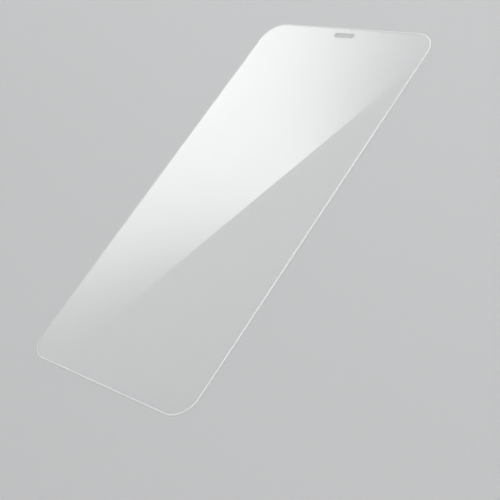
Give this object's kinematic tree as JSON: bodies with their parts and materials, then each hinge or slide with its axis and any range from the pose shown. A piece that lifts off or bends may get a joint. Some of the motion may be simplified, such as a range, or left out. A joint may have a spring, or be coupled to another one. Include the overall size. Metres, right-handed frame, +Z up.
{
  "type": "phone screen protector",
  "caption": "Clear tempered glass sheet with rounded corners, an arc-ground front edge and an earpiece slot, laid over a phone's screen to guard it.",
  "frame": {"origin": "on the adhesive face, under the middle of the sheet", "axes": "+Z up out of the front face, +Y along the length towards the end with the earpiece slot, +X across the width"},
  "size_m": [0.071, 0.142, 0.0003],
  "materials": {
    "clear_glass": "polished, with a ground edge"
  },
  "bodies": {
    "root": {"screen_protector": "clear_glass"}
  },
  "joints": []
}
